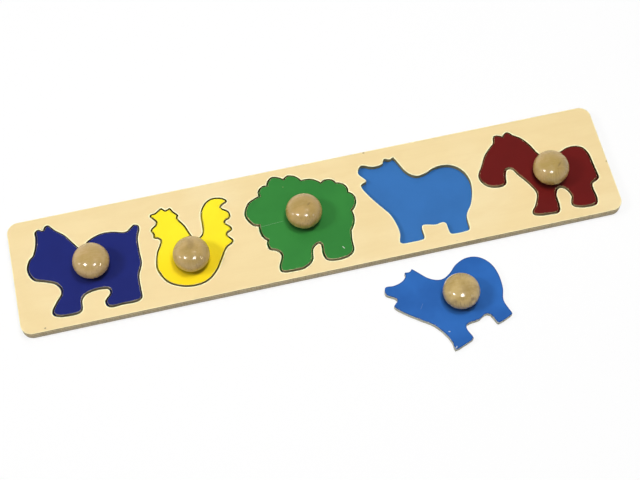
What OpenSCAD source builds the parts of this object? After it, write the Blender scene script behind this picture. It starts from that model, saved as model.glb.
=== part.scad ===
// Wooden peg puzzle: five knobbed animals in a long board, the hippo taken out and lying in front.
// Origin at the centre of the board's underside, X along the board, Y towards its far side, Z up.

/* [Board] */
// Thickness of the top board that the openings are sawn through
frame_t = 4; // [3:0.25:8]
// Thickness of the backing board glued under it
backing_t = 3.5; // [2:0.25:6]
// Thickness of the coloured floor in each opening
floor_t = 0.3; // [0.1:0.1:1]
// Radius of the board's four corners
corner_r = 7.5; // [2:0.5:12]
// Wood between the board's ends and the first and last openings
end_margin = 9.25; // [5:0.25:30]
// Wood between the board's long sides and the tallest opening
side_margin = 4.75; // [3:0.25:20]

/* [Spacing] */
// Wood between the dog's and the rooster's openings
dog_to_rooster = 6; // [4:0.5:20]
// Wood between the rooster's and the sheep's openings
rooster_to_sheep = 9; // [4:0.5:20]
// Wood between the sheep's and the hippo's openings
sheep_to_hippo = 5.5; // [4:0.5:20]
// Wood between the hippo's and the horse's openings
hippo_to_horse = 6; // [4:0.5:20]

/* [Openings] */
// Length of the dog's opening
dog_w = 76; // [60:0.5:110]
// Height of the dog's opening
dog_h = 67; // [50:0.5:100]
// Length of the rooster's opening
rooster_w = 54; // [45:0.5:90]
// Height of the rooster's opening
rooster_h = 60; // [50:0.5:100]
// Length of the sheep's opening
sheep_w = 74.5; // [60:0.5:110]
// Height of the sheep's opening
sheep_h = 70.5; // [50:0.5:100]
// Length of the hippo's opening
hippo_w = 72; // [60:0.5:110]
// Height of the hippo's opening
hippo_h = 64.5; // [50:0.5:100]
// Length of the horse's opening
horse_w = 78.5; // [60:0.5:110]
// Height of the horse's opening
horse_h = 66.5; // [50:0.5:100]

/* [Animals] */
// Thickness of the five animals
plate_t = 4; // [3:0.25:8]
// Gap between an animal and its opening, all the way round
fit_gap = 1.1; // [0.4:0.1:1.4]

/* [Knobs] */
// Diameter of a knob at its widest
knob_d = 24; // [21:0.5:32]
// Height from a knob's widest ring to its top
knob_rise = 8.75; // [7:0.25:10]
// Diameter of the flat that a knob stands on
knob_base_d = 13; // [10:0.5:16]

/* [Screws] */
// Diameter of a screw's shank
screw_d = 3.5; // [2.5:0.25:5]
// Diameter of a screw's countersunk head
screw_head_d = 7; // [6:0.25:9]
// Depth that a screw's head lies below the animal's underside
screw_sink = 0.3; // [0.1:0.1:0.6]
// Length of a screw that bites into its knob
screw_bite = 10; // [6:0.5:12]
// Gap between a screw and the holes that it passes through
screw_gap = 0.1; // [0.05:0.05:0.3]

/* [Hippo on the table] */
// Gap between the board's near side and the loose hippo
hippo_out_gap = 9.25; // [4:0.25:60]
// Distance that the loose hippo lies to the right of its opening
hippo_out_shift = 2.75; // [-40:0.25:40]
// Anticlockwise turn of the loose hippo, in degrees
hippo_out_turn = 21; // [-60:1:60]

/* [Hidden] */

$fn = 64;

// How far a cut runs past the face that it opens
overrun = 1;
// Longest straight step along a sawn curve, and the fewest steps between two outline points
curve_step = 1.5;
curve_min_steps = 3;

// Outline tables, clockwise from the upper left: shares of the opening's length and height.
// A third value of 1 makes the point a sharp notch; all others are passed smoothly.
dog_shares = [
    [0.11, 0.95], [0.14, 0.975], [0.165, 0.965], [0.18, 0.955], [0.19, 0.97],
    [0.205, 0.995], [0.235, 1], [0.26, 0.97],
    [0.29, 0.93], [0.36, 0.86], [0.43, 0.745], [0.48, 0.69], [0.55, 0.75], [0.66, 0.795],
    [0.77, 0.79], [0.875, 0.76], [0.93, 0.8], [0.96, 0.82], [1, 0.785],
    [0.97, 0.66], [0.965, 0.515], [0.965, 0.39], [0.925, 0.27], [0.92, 0.12],
    [0.915, 0.035], [0.87, 0.005], [0.75, 0.005], [0.63, 0.01], [0.605, 0.08], [0.655, 0.15],
    [0.64, 0.2], [0.49, 0.2], [0.425, 0.15], [0.41, 0.045], [0.38, 0.01],
    [0.29, 0.005], [0.2, 0.02], [0.155, 0.07], [0.2, 0.17], [0.255, 0.26], [0.225, 0.35],
    [0.14, 0.4], [0.04, 0.45], [0, 0.565], [0.03, 0.67], [0.065, 0.705],
    [0.1, 0.815], [0.11, 0.9]
];
rooster_shares = [
    [0.035, 0.925], [0.055, 0.95], [0.1, 0.955], [0.155, 0.985], [0.19, 1],
    [0.22, 0.98], [0.24, 0.965], [0.27, 0.975], [0.3, 0.98], [0.325, 0.935],
    [0.36, 0.9], [0.38, 0.87], [0.365, 0.84],
    [0.435, 0.73], [0.485, 0.605], [0.53, 0.55], [0.615, 0.59], [0.635, 0.69],
    [0.645, 0.82], [0.7, 0.93], [0.795, 0.99], [0.915, 0.985], [0.98, 0.95],
    [0.995, 0.915], [0.935, 0.885], [0.91, 0.865], [0.93, 0.84], [0.985, 0.8],
    [1, 0.745], [0.98, 0.705], [0.935, 0.69], [0.92, 0.665], [0.945, 0.64],
    [0.98, 0.605], [0.98, 0.565], [0.93, 0.54], [0.915, 0.515], [0.94, 0.485],
    [0.97, 0.445], [0.95, 0.405], [0.875, 0.365], [0.795, 0.25], [0.7, 0.12],
    [0.565, 0.025], [0.395, 0], [0.225, 0.035], [0.09, 0.115], [0.015, 0.24],
    [0, 0.32], [0.035, 0.47], [0.105, 0.605], [0.08, 0.64], [0.035, 0.655],
    [0.035, 0.705], [0.015, 0.76], [0.095, 0.83], [0.065, 0.885]
];
sheep_shares = [
    [0, 0.66], [0.045, 0.77], [0.085, 0.8], [0.16, 0.83, 1], [0.18, 0.905],
    [0.25, 0.925, 1], [0.285, 0.985], [0.33, 1], [0.41, 0.955, 1], [0.48, 0.98],
    [0.565, 0.905, 1], [0.66, 0.895], [0.73, 0.84, 1], [0.805, 0.86], [0.865, 0.805, 1],
    [0.94, 0.76], [0.95, 0.685, 1], [1, 0.595], [0.94, 0.48, 1], [0.94, 0.38],
    [0.89, 0.285, 1], [0.875, 0.195], [0.86, 0.07], [0.765, 0.02], [0.625, 0.035],
    [0.59, 0.105], [0.595, 0.205], [0.57, 0.22], [0.52, 0.175], [0.495, 0.07],
    [0.42, 0.01], [0.34, 0], [0.21, 0.015], [0.195, 0.07], [0.235, 0.18],
    [0.205, 0.235], [0.145, 0.27], [0.145, 0.36, 1], [0.105, 0.42], [0.1, 0.52, 1],
    [0.045, 0.55]
];
hippo_shares = [
    [0.005, 0.895], [0.035, 0.965], [0.07, 0.975], [0.13, 0.945], [0.2, 0.935],
    [0.255, 0.955], [0.265, 0.985], [0.285, 1], [0.325, 0.98], [0.36, 0.995],
    [0.375, 0.975], [0.395, 0.925],
    [0.445, 0.805], [0.52, 0.735], [0.605, 0.74], [0.71, 0.785], [0.835, 0.785],
    [0.94, 0.715], [0.995, 0.585], [0.99, 0.44], [0.94, 0.29], [0.875, 0.185],
    [0.865, 0.09], [0.86, 0.02], [0.83, 0.005], [0.7, 0.005], [0.675, 0.025], [0.67, 0.09],
    [0.655, 0.15], [0.57, 0.145], [0.46, 0.17], [0.44, 0.145], [0.44, 0.045],
    [0.425, 0.015], [0.33, 0.01], [0.23, 0.015], [0.21, 0.04], [0.23, 0.12], [0.225, 0.225],
    [0.19, 0.36], [0.11, 0.5], [0.035, 0.64], [0, 0.745], [0.035, 0.775],
    [0.06, 0.79], [0.04, 0.83]
];
horse_shares = [
    [0.21, 0.905], [0.23, 0.975], [0.26, 0.99], [0.31, 0.96, 1], [0.36, 1],
    [0.4, 0.96], [0.46, 0.905], [0.515, 0.815], [0.565, 0.69], [0.61, 0.65],
    [0.74, 0.66], [0.835, 0.695], [0.935, 0.675], [0.985, 0.585], [0.995, 0.44],
    [1, 0.3], [0.985, 0.275], [0.93, 0.24], [0.92, 0.205], [0.925, 0.075],
    [0.9, 0.01], [0.82, 0], [0.745, 0.015], [0.695, 0.06], [0.715, 0.165], [0.655, 0.265],
    [0.6, 0.21], [0.595, 0.085], [0.57, 0.01], [0.485, 0.005], [0.405, 0.015], [0.35, 0.055],
    [0.395, 0.14], [0.435, 0.255], [0.405, 0.36], [0.335, 0.495], [0.275, 0.585],
    [0.23, 0.515], [0.21, 0.43], [0.135, 0.41], [0.04, 0.455], [0, 0.565],
    [0.05, 0.675], [0.115, 0.8], [0.19, 0.885]
];

// Place of each knob, as shares of the opening's length and height
dog_knob_share = [0.55, 0.47];
rooster_knob_share = [0.44, 0.32];
sheep_knob_share = [0.51, 0.525];
hippo_knob_share = [0.565, 0.47];
horse_knob_share = [0.6, 0.445];

// Where an animal lies in its opening: shares of the gap, to the right of and beyond the middle
dog_rest_share = [0.25, 0.25];
sheep_rest_share = [0.15, 0.2];
horse_rest_share = [-0.15, 0.3];

// Distance that an opening lies off the board's centre line, as a share of its height
rooster_off_share = -0.015;
hippo_off_share = -0.01;
horse_off_share = -0.01;

// The board grows with its openings and the wood left round them
row_l = dog_w + dog_to_rooster + rooster_w + rooster_to_sheep + sheep_w
    + sheep_to_hippo + hippo_w + hippo_to_horse + horse_w;
board_l = row_l + 2 * end_margin;
board_w = max(dog_h, rooster_h, sheep_h, hippo_h, horse_h) + 2 * side_margin;

dog_x = -row_l / 2;
rooster_x = dog_x + dog_w + dog_to_rooster;
sheep_x = rooster_x + rooster_w + rooster_to_sheep;
hippo_x = sheep_x + sheep_w + sheep_to_hippo;
horse_x = hippo_x + hippo_w + hippo_to_horse;

// Heights of the openings' floors and of the animals that stand on them
floor_z = backing_t;
plate_z = floor_z + floor_t;

// Each animal: lower left corner of its opening, size, outline table, knob place and shift at rest
function animal(x, size, shares, knob_share, off_share = 0, rest_share = [0, 0]) =
    [[x, (off_share - 1 / 2) * size[1]], size, shares, knob_share, fit_gap * rest_share];
dog = animal(dog_x, [dog_w, dog_h], dog_shares, dog_knob_share, 0, dog_rest_share);
rooster = animal(rooster_x, [rooster_w, rooster_h], rooster_shares, rooster_knob_share, rooster_off_share);
sheep = animal(sheep_x, [sheep_w, sheep_h], sheep_shares, sheep_knob_share, 0, sheep_rest_share);
hippo = animal(hippo_x, [hippo_w, hippo_h], hippo_shares, hippo_knob_share, hippo_off_share);
horse = animal(horse_x, [horse_w, horse_h], horse_shares, horse_knob_share, horse_off_share, horse_rest_share);
animals = [dog, rooster, sheep, hippo, horse];

function in_box(share, animal) =
    animal[0] + [share[0] * animal[1][0], share[1] * animal[1][1]];
function middle(animal) = in_box([1 / 2, 1 / 2], animal);
function knob_spot(animal) = in_box(animal[3], animal) + animal[4];

// A sawn outline: a closed chain of Bezier spans through the table's points.
// A smooth point heads along the line between its neighbours. A notch takes the mirror image of the
// heading at the span's other end, so that the span runs as a round arc.
function unit(v) = v / norm(v);
function is_notch(share) = len(share) > 2;
function mirrored(heading, line) = 2 * line * (line * heading) - heading;
function reach(heading, chord) = 2 / 3 * norm(chord) / (1 + heading * unit(chord));
function bezier(p, a, b, q, t) =
    pow(1 - t, 3) * p + 3 * t * pow(1 - t, 2) * a + 3 * t * t * (1 - t) * b + pow(t, 3) * q;
function span(p, q, leave, arrive) =
    let (
        a = p + leave * reach(leave, q - p),
        b = q - arrive * reach(arrive, q - p),
        steps = max(curve_min_steps, ceil(norm(q - p) / curve_step))
    )
    [for (k = [0 : steps - 1]) bezier(p, a, b, q, k / steps)];
function outline(animal) =
    let (shares = animal[2], n = len(shares), points = [for (s = shares) in_box(s, animal)])
    [for (i = [0 : n - 1])
        let (
            j = (i + 1) % n,
            p = points[i],
            q = points[j],
            line = unit(q - p),
            smooth_leave = unit(q - points[(i + n - 1) % n]),
            smooth_arrive = unit(points[(j + 1) % n] - p),
            leave = !is_notch(shares[i]) ? smooth_leave
                : is_notch(shares[j]) ? line : mirrored(smooth_arrive, line),
            arrive = !is_notch(shares[j]) ? smooth_arrive
                : is_notch(shares[i]) ? line : mirrored(smooth_leave, line)
        )
        each span(p, q, leave, arrive)];

// Where the loose hippo lies: its far edge keeps its gap to the board's near side
function turned(v, angle) =
    [v[0] * cos(angle) - v[1] * sin(angle), v[0] * sin(angle) + v[1] * cos(angle)];
hippo_far_y = max([for (p = outline(hippo)) turned(p - middle(hippo), hippo_out_turn)[1]]) - fit_gap;
hippo_out = [
    middle(hippo)[0] + hippo_out_shift,
    -board_w / 2 - hippo_out_gap - hippo_far_y,
    -plate_z
];

// A knob is a flattened ball: a round side between two wider domes that run on from it smoothly
knob_r = knob_d / 2;
knob_side_share = 0.9;
knob_side_r = knob_side_share * knob_rise;
knob_side_x = knob_r - knob_side_r;
knob_step = knob_rise - knob_side_r;
knob_dome_drop = (pow(knob_side_x, 2) - pow(knob_step, 2)) / (2 * knob_step);
knob_dome_r = knob_rise + knob_dome_drop;
knob_dome_x = knob_side_x * knob_dome_r / (knob_dome_r - knob_side_r);
knob_base_r = knob_base_d / 2;
// Height of the widest ring above the flat, where the lower dome or the side meets the flat's rim
knob_ring_z = knob_base_r < knob_dome_x
    ? sqrt(pow(knob_dome_r, 2) - pow(knob_base_r, 2)) - knob_dome_drop
    : sqrt(pow(knob_side_r, 2) - pow(knob_base_r - knob_side_x, 2));
knob_h = knob_ring_z + knob_rise;

// Countersunk screws with a cross slot, driven from below
screw_head_h = (screw_head_d - screw_d) / 2;
screw_l = plate_t - screw_sink + screw_bite;
screw_point_l = screw_d;
pilot_spare = screw_d / 4;
slot_l_share = 0.6;
slot_w_share = 0.16;
slot_depth_share = 0.8;

module board_outline() {
    square([board_l - 2 * corner_r, board_w], center = true);
    square([board_l, board_w - 2 * corner_r], center = true);
    for (sx = [-1, 1], sy = [-1, 1])
        translate([sx * (board_l / 2 - corner_r), sy * (board_w / 2 - corner_r)])
            circle(corner_r);
}

module frame_board() {
    color("#f3dca4")
        translate([0, 0, floor_z])
            linear_extrude(frame_t)
                difference() {
                    board_outline();
                    for (a = animals) polygon(outline(a));
                }
}

module backing_board() {
    color("#c9b384")
        linear_extrude(backing_t) board_outline();
}

module floor_layer(animal) {
    translate([0, 0, floor_z])
        linear_extrude(floor_t) polygon(outline(animal));
}

module plate(animal) {
    difference() {
        translate([animal[4][0], animal[4][1], plate_z])
            linear_extrude(plate_t) offset(delta = -fit_gap) polygon(outline(animal));
        translate([knob_spot(animal)[0], knob_spot(animal)[1], plate_z]) screw_hole();
    }
}

// The hole through an animal, with a countersink that takes the screw's head
module screw_hole() {
    head_hole_d = screw_head_d + 2 * screw_gap;
    shank_hole_d = screw_d + 2 * screw_gap;
    translate([0, 0, -overrun]) cylinder(h = plate_t + 2 * overrun, d = shank_hole_d);
    translate([0, 0, -overrun]) cylinder(h = overrun + screw_sink, d = head_hole_d);
    translate([0, 0, screw_sink]) cylinder(h = screw_head_h, d1 = head_hole_d, d2 = shank_hole_d);
}

module knob_profile() {
    translate([knob_side_x, knob_ring_z]) circle(knob_side_r);
    intersection() {
        translate([0, knob_ring_z - knob_dome_drop]) circle(knob_dome_r);
        translate([0, knob_ring_z + knob_dome_drop]) circle(knob_dome_r);
        translate([0, knob_ring_z - knob_rise]) square([knob_dome_x, 2 * knob_rise]);
    }
}

module knob(animal) {
    pilot_l = screw_bite + pilot_spare;
    translate([knob_spot(animal)[0], knob_spot(animal)[1], plate_z + plate_t])
        difference() {
            rotate_extrude()
                intersection() {
                    knob_profile();
                    square([knob_r, knob_h]);
                }
            translate([0, 0, -overrun]) cylinder(h = pilot_l + overrun, d = screw_d + 2 * screw_gap);
        }
}

module screw(animal) {
    slot_l = slot_l_share * screw_head_d;
    slot_w = slot_w_share * screw_head_d;
    slot_depth = slot_depth_share * screw_head_h;
    translate([knob_spot(animal)[0], knob_spot(animal)[1], plate_z + screw_sink])
        difference() {
            union() {
                cylinder(h = screw_head_h, d1 = screw_head_d, d2 = screw_d);
                cylinder(h = screw_l - screw_point_l, d = screw_d);
                translate([0, 0, screw_l - screw_point_l])
                    cylinder(h = screw_point_l, d1 = screw_d, d2 = 0);
            }
            for (turn = [0, 90])
                rotate(turn)
                    translate([-slot_l / 2, -slot_w / 2, -overrun])
                        cube([slot_l, slot_w, overrun + slot_depth]);
        }
}

// Lays what is modelled in the hippo's opening on the table instead
module lifted_out() {
    translate(hippo_out)
        rotate(hippo_out_turn)
            translate(-[middle(hippo)[0], middle(hippo)[1], 0]) children();
}

module dog_floor() { color("#27307c") floor_layer(dog); }
module rooster_floor() { color("#f2dd2c") floor_layer(rooster); }
module sheep_floor() { color("#2f7d38") floor_layer(sheep); }
module hippo_floor() { color("#3d78c0") floor_layer(hippo); }
module horse_floor() { color("#6a1f1c") floor_layer(horse); }

module dog_plate() { color("#28307a") plate(dog); }
module rooster_plate() { color("#fbe92f") plate(rooster); }
module sheep_plate() { color("#3a893e") plate(sheep); }
module hippo_plate() { color("#3769b6") lifted_out() plate(hippo); }
module horse_plate() { color("#6e1f1d") plate(horse); }

module dog_knob() { color("#b99f6b") knob(dog); }
module rooster_knob() { color("#b99f6b") knob(rooster); }
module sheep_knob() { color("#b99f6b") knob(sheep); }
module hippo_knob() { color("#b99f6b") lifted_out() knob(hippo); }
module horse_knob() { color("#b99f6b") knob(horse); }

module dog_screw() { color("silver") screw(dog); }
module rooster_screw() { color("silver") screw(rooster); }
module sheep_screw() { color("silver") screw(sheep); }
module hippo_screw() { color("silver") lifted_out() screw(hippo); }
module horse_screw() { color("silver") screw(horse); }

frame_board();
backing_board();
dog_floor();
rooster_floor();
sheep_floor();
hippo_floor();
horse_floor();
dog_plate();
rooster_plate();
sheep_plate();
hippo_plate();
horse_plate();
dog_knob();
rooster_knob();
sheep_knob();
hippo_knob();
horse_knob();
dog_screw();
rooster_screw();
sheep_screw();
hippo_screw();
horse_screw();
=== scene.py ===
import math

import bpy
from mathutils import Matrix, Quaternion, Vector


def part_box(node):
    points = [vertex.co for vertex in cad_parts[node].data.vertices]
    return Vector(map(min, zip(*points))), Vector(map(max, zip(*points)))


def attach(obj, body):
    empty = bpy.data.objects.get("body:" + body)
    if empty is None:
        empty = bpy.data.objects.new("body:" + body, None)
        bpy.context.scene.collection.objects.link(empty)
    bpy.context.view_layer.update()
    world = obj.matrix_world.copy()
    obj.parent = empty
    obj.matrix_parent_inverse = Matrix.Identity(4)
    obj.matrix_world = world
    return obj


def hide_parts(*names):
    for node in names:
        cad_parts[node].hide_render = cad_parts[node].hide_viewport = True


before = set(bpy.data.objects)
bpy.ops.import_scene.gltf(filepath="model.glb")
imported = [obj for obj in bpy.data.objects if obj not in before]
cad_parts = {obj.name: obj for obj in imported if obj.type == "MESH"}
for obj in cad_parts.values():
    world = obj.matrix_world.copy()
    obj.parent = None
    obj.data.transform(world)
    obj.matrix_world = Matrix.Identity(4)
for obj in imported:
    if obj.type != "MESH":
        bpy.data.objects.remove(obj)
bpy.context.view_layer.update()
mm = 0.001
animals = ("dog", "rooster", "sheep", "hippo", "horse")
print("frame loaded:", len(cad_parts), "nodes")

mergeGap = 0.002 * mm  # points closer than this become one
smoothAngles = dict(sawn=40, knob=35, screw=30)  # degrees


# Small helpers for work in edit mode
def objectMode():
    bpy.ops.object.mode_set(mode="OBJECT")


def editMode(kind):
    bpy.ops.object.mode_set(mode="EDIT")
    bpy.ops.mesh.select_mode(type=kind)


def pickOnly(piece):
    if bpy.context.object and bpy.context.object.mode != "OBJECT":
        objectMode()
    bpy.ops.object.select_all(action="DESELECT")
    piece.select_set(True)
    bpy.context.view_layer.objects.active = piece


def pickFaces(piece, wanted):  # leaves edit mode on, with just the wanted faces selected
    editMode("FACE")
    bpy.ops.mesh.select_all(action="DESELECT")
    objectMode()
    for face in piece.data.polygons:
        face.select = wanted(face)
    editMode("FACE")


def applyModifier(piece, kind, **values):
    pickOnly(piece)
    modifier = piece.modifiers.new(kind.lower(), kind)
    for key, value in values.items():
        setattr(modifier, key, value)
    bpy.ops.object.modifier_apply(modifier=modifier.name)


def smoothShade(piece, degrees):
    pickOnly(piece)
    bpy.ops.object.shade_smooth_by_angle(angle=math.radians(degrees), keep_sharp_edges=False)
    applyModifier(piece, "WEIGHTED_NORMAL", mode="FACE_AREA", weight=60, keep_sharp=True)


def copyOfNode(node, name):  # the node's mesh with its loose triangles merged
    piece = bpy.data.objects.new(name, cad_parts[node].data.copy())
    bpy.context.scene.collection.objects.link(piece)
    piece.data.materials.clear()
    pickOnly(piece)
    editMode("VERT")
    bpy.ops.mesh.select_all(action="SELECT")
    bpy.ops.mesh.customdata_custom_splitnormals_clear()
    bpy.ops.mesh.remove_doubles(threshold=mergeGap)
    objectMode()
    return piece


def copyTo(model, name, place):  # a copy with its own mesh, moved in its mesh
    piece = bpy.data.objects.new(name, model.data.copy())
    piece.data.transform(Matrix.Translation(place))
    bpy.context.scene.collection.objects.link(piece)
    return piece


def footOf(node):  # the middle of a node's lowest level
    low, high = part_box(node)
    return Vector(((low.x + high.x) / 2, (low.y + high.y) / 2, low.z))


# Node helpers: a value that is a socket is linked, any other value is typed into the input
def fill(tree, sockets, values):
    for title, value in values.items():
        socket = sockets[title]
        if isinstance(value, bpy.types.NodeSocket):
            tree.links.new(value, socket)
        elif socket.type == "RGBA":
            socket.default_value = (*value, 1)
        else:
            socket.default_value = value


def put(tree, kind, inputs=None, **settings):
    node = tree.nodes.new(kind)
    for key, value in settings.items():
        setattr(node, key, value)
    fill(tree, node.inputs, inputs or {})
    return node


def calc(tree, operation, a, b=0.0, c=0.0):
    return put(tree, "ShaderNodeMath", {0: a, 1: b, 2: c}, operation=operation).outputs[0]


def times(tree, a, b):
    return calc(tree, "MULTIPLY", a, b)


def apart(tree, a, b):
    return calc(tree, "ABSOLUTE", calc(tree, "SUBTRACT", a, b))


def summed(tree, a, b, share):  # a by its share and b by the rest
    return calc(tree, "ADD", times(tree, a, share), times(tree, b, 1 - share))


def contrast(tree, value, amount):  # drives a value away from 0.5
    return calc(tree, "MULTIPLY_ADD", calc(tree, "SUBTRACT", value, 0.5), amount, 0.5)


def along(tree, vector, axis):
    return put(tree, "ShaderNodeSeparateXYZ", {0: vector}).outputs[axis]


def lengthOf(tree, vector):
    return put(tree, "ShaderNodeVectorMath", {0: vector}, operation="LENGTH").outputs["Value"]


def spread(tree, value, low, high, toLow=0.0, toHigh=1.0):  # eased, and level outside low and high
    values = {0: value, 1: low, 2: high, 3: toLow, 4: toHigh}
    return put(tree, "ShaderNodeMapRange", values, interpolation_type="SMOOTHSTEP").outputs[0]


def fade(tree, value, full, gone):
    return spread(tree, value, full, gone, 1.0, 0.0)


def blendColour(tree, share, under, over):
    values = {0: share, 6: under, 7: over}
    return put(tree, "ShaderNodeMix", values, data_type="RGBA").outputs[2]


def tinted(tree, colour, tone, value, start, full, share=1.0):  # up to share of the tone
    return blendColour(tree, spread(tree, value, start, full, 0.0, share), colour, tone)


def marked(tree, colour, tone, mask, share):  # share of the tone where the mask is 1
    return blendColour(tree, times(tree, mask, share), colour, tone)


def noiseValue(tree, vector, scale, detail, roughness=0.5):
    values = {"Vector": vector, "Scale": scale, "Detail": detail, "Roughness": roughness}
    return put(tree, "ShaderNodeTexNoise", values).outputs[0]


def drawnNoise(tree, vector, sizes, detail, roughness=0.5):  # its blots are so many mm long
    factors = tuple(1 / (size * mm) for size in sizes)
    values = {0: vector, 1: factors}
    scaled = put(tree, "ShaderNodeVectorMath", values, operation="MULTIPLY").outputs[0]
    return noiseValue(tree, scaled, 1.0, detail, roughness)


def emptyTree(owner):  # the node tree of a material or world
    owner.use_nodes = True
    owner.node_tree.nodes.clear()
    return owner.node_tree


# Camera and stage, as the photo was taken: from the near side, 65 degrees up
photoView = dict(
    place=(-81.07, -366.87, 776.72),  # mm
    aim=(-1.30, -17.29, 7.5),
    roll=-0.228,  # degrees
    lens=73.1,
    sensor=36.0,
    clip=(0.01, 50.0),  # m
)


def makeCamera(view):
    camera = bpy.data.objects.new("photo_camera", bpy.data.cameras.new("photo_camera"))
    bpy.context.scene.collection.objects.link(camera)
    place, aim = Vector(view["place"]) * mm, Vector(view["aim"]) * mm
    look = (aim - place).to_track_quat("-Z", "Y")
    camera.rotation_mode = "QUATERNION"
    camera.rotation_quaternion = look @ Quaternion((0, 0, 1), math.radians(view["roll"]))
    camera.location = place
    camera.data.lens = view["lens"]
    camera.data.sensor_width = view["sensor"]
    camera.data.clip_start, camera.data.clip_end = view["clip"]
    bpy.context.scene.camera = camera


stageLook = dict(
    floorSize=8.0,  # m
    floorDrop=0.05 * mm,
    floorPaint=(0.95, 0.95, 0.95),
    whiteShare=0.8,  # of the floor's look that is plain white to the camera
    ambient=0.13,
    ambientTint=(1.0, 0.995, 0.985),
    ceiling=0.26,  # brightness overhead, beside the white of the walls
    ceilingFrom=(0.35, 0.85),  # upward part of a direction, from the walls' white to the ceiling
)


def seenDirectly(tree):  # 1 for rays that should meet the white background
    path = put(tree, "ShaderNodeLightPath").outputs
    some = calc(tree, "MAXIMUM", path["Is Camera Ray"], path["Is Glossy Ray"])
    return calc(tree, "MAXIMUM", some, path["Is Transmission Ray"])


def makeFloor(look):
    bpy.ops.mesh.primitive_plane_add(size=look["floorSize"], location=(0, 0, -look["floorDrop"]))
    floor = bpy.context.object
    floor.name = "studio_floor"
    bpy.ops.object.transform_apply(location=True, rotation=False, scale=False)
    material = bpy.data.materials.new("pale_floor")
    tree = emptyTree(material)
    paint = put(tree, "ShaderNodeBsdfDiffuse", {"Color": look["floorPaint"]})
    white = put(tree, "ShaderNodeEmission", {"Strength": 1.0})
    share = times(tree, seenDirectly(tree), look["whiteShare"])
    mixed = put(tree, "ShaderNodeMixShader", {0: share, 1: paint.outputs[0], 2: white.outputs[0]})
    put(tree, "ShaderNodeOutputMaterial", {0: mixed.outputs[0]})
    floor.data.materials.append(material)


def makeWorld(look):
    world = bpy.data.worlds.new("studio_world")
    bpy.context.scene.world = world
    tree = emptyTree(world)
    soft = put(tree, "ShaderNodeBackground", {0: look["ambientTint"], 1: look["ambient"]})
    upward = along(tree, put(tree, "ShaderNodeTexCoord").outputs["Generated"], "Z")
    strength = spread(tree, upward, *look["ceilingFrom"], 1.0, look["ceiling"])
    white = put(tree, "ShaderNodeBackground", {0: (1, 1, 1), 1: strength})
    values = {0: seenDirectly(tree), 1: soft.outputs[0], 2: white.outputs[0]}
    mixed = put(tree, "ShaderNodeMixShader", values)
    put(tree, "ShaderNodeOutputWorld", {0: mixed.outputs[0]})


# Lamps (mm, watts): the mirrored ones show as spots on the knobs, the others light and shade
roomLamps = dict(
    middle=dict(place=(100, -405, 1030), size=215, power=4.5, mirrored=True),
    left=dict(place=(-640, -205, 1000), size=190, power=4.4, mirrored=True),
    right=dict(  # its narrow beam, in degrees, meets the knobs towards the left end
        place=(1010, -740, 930), size=230, power=0.038, mirrored=True, beam=10, aim=(-210, 0, 15)
    ),
    farLeft=dict(place=(-1250, 20, 760), size=220, power=1.0, mirrored=True),
    overhead=dict(place=(220, 100, 1300), size=330, power=8.1, mirrored=False),
    leftKey=dict(place=(-1230, 90, 1320), size=390, power=11.5, mirrored=False),
    behind=dict(place=(60, 700, 1100), size=900, power=2.2, mirrored=False),
    front=dict(place=(60, -500, 1000), size=500, power=1.7, mirrored=False),
)


def makeLamps(lamps):
    for name, values in lamps.items():
        light = bpy.data.lights.new(name, "AREA")
        light.shape = "DISK"
        light.size = values["size"] * mm
        light.energy = values["power"]
        light.spread = math.radians(values.get("beam", 180))
        lamp = bpy.data.objects.new(name, light)
        bpy.context.scene.collection.objects.link(lamp)
        lamp.visible_glossy = values["mirrored"]
        lamp.visible_diffuse = not values["mirrored"]
        lamp.location = Vector(values["place"]) * mm
        aim = Vector(values.get("aim", (0, 0, 0))) * mm
        lamp.rotation_euler = (aim - lamp.location).to_track_quat("-Z", "Y").to_euler()


makeCamera(photoView)
makeFloor(stageLook)
makeWorld(stageLook)
makeLamps(roomLamps)
bpy.context.scene.view_settings.view_transform = "Standard"
print("camera, floor and lamps set")


# Shared effects, each a node group that reads a Vector; its other inputs and its outputs are values
def newGroup(name, **inputs):
    tree = bpy.data.node_groups.new(name, "ShaderNodeTree")
    tree.interface.new_socket("Vector", in_out="INPUT", socket_type="NodeSocketVector")
    for title, value in inputs.items():
        socket = tree.interface.new_socket(title, in_out="INPUT", socket_type="NodeSocketFloat")
        socket.default_value = value
    return tree, put(tree, "NodeGroupInput").outputs


def withOutputs(tree, **outputs):
    for title in outputs:
        tree.interface.new_socket(title, in_out="OUTPUT", socket_type="NodeSocketFloat")
    put(tree, "NodeGroupOutput", outputs)
    return tree


def useGroup(tree, group, **inputs):
    return put(tree, "ShaderNodeGroup", inputs, node_tree=group).outputs


# Sizes in mm run along the board, across it and through it; scales are in blots to the metre
grainFigure = dict(
    wide=(160, 6.5, 30),
    narrow=(50, 1.6, 8),
    wideShare=0.7,
    fibres=(11, 0.35, 2),
    clouds=14.0,
    sway=12.0,  # mm, how far the streaks wander
    swayScale=22.0,
)


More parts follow.
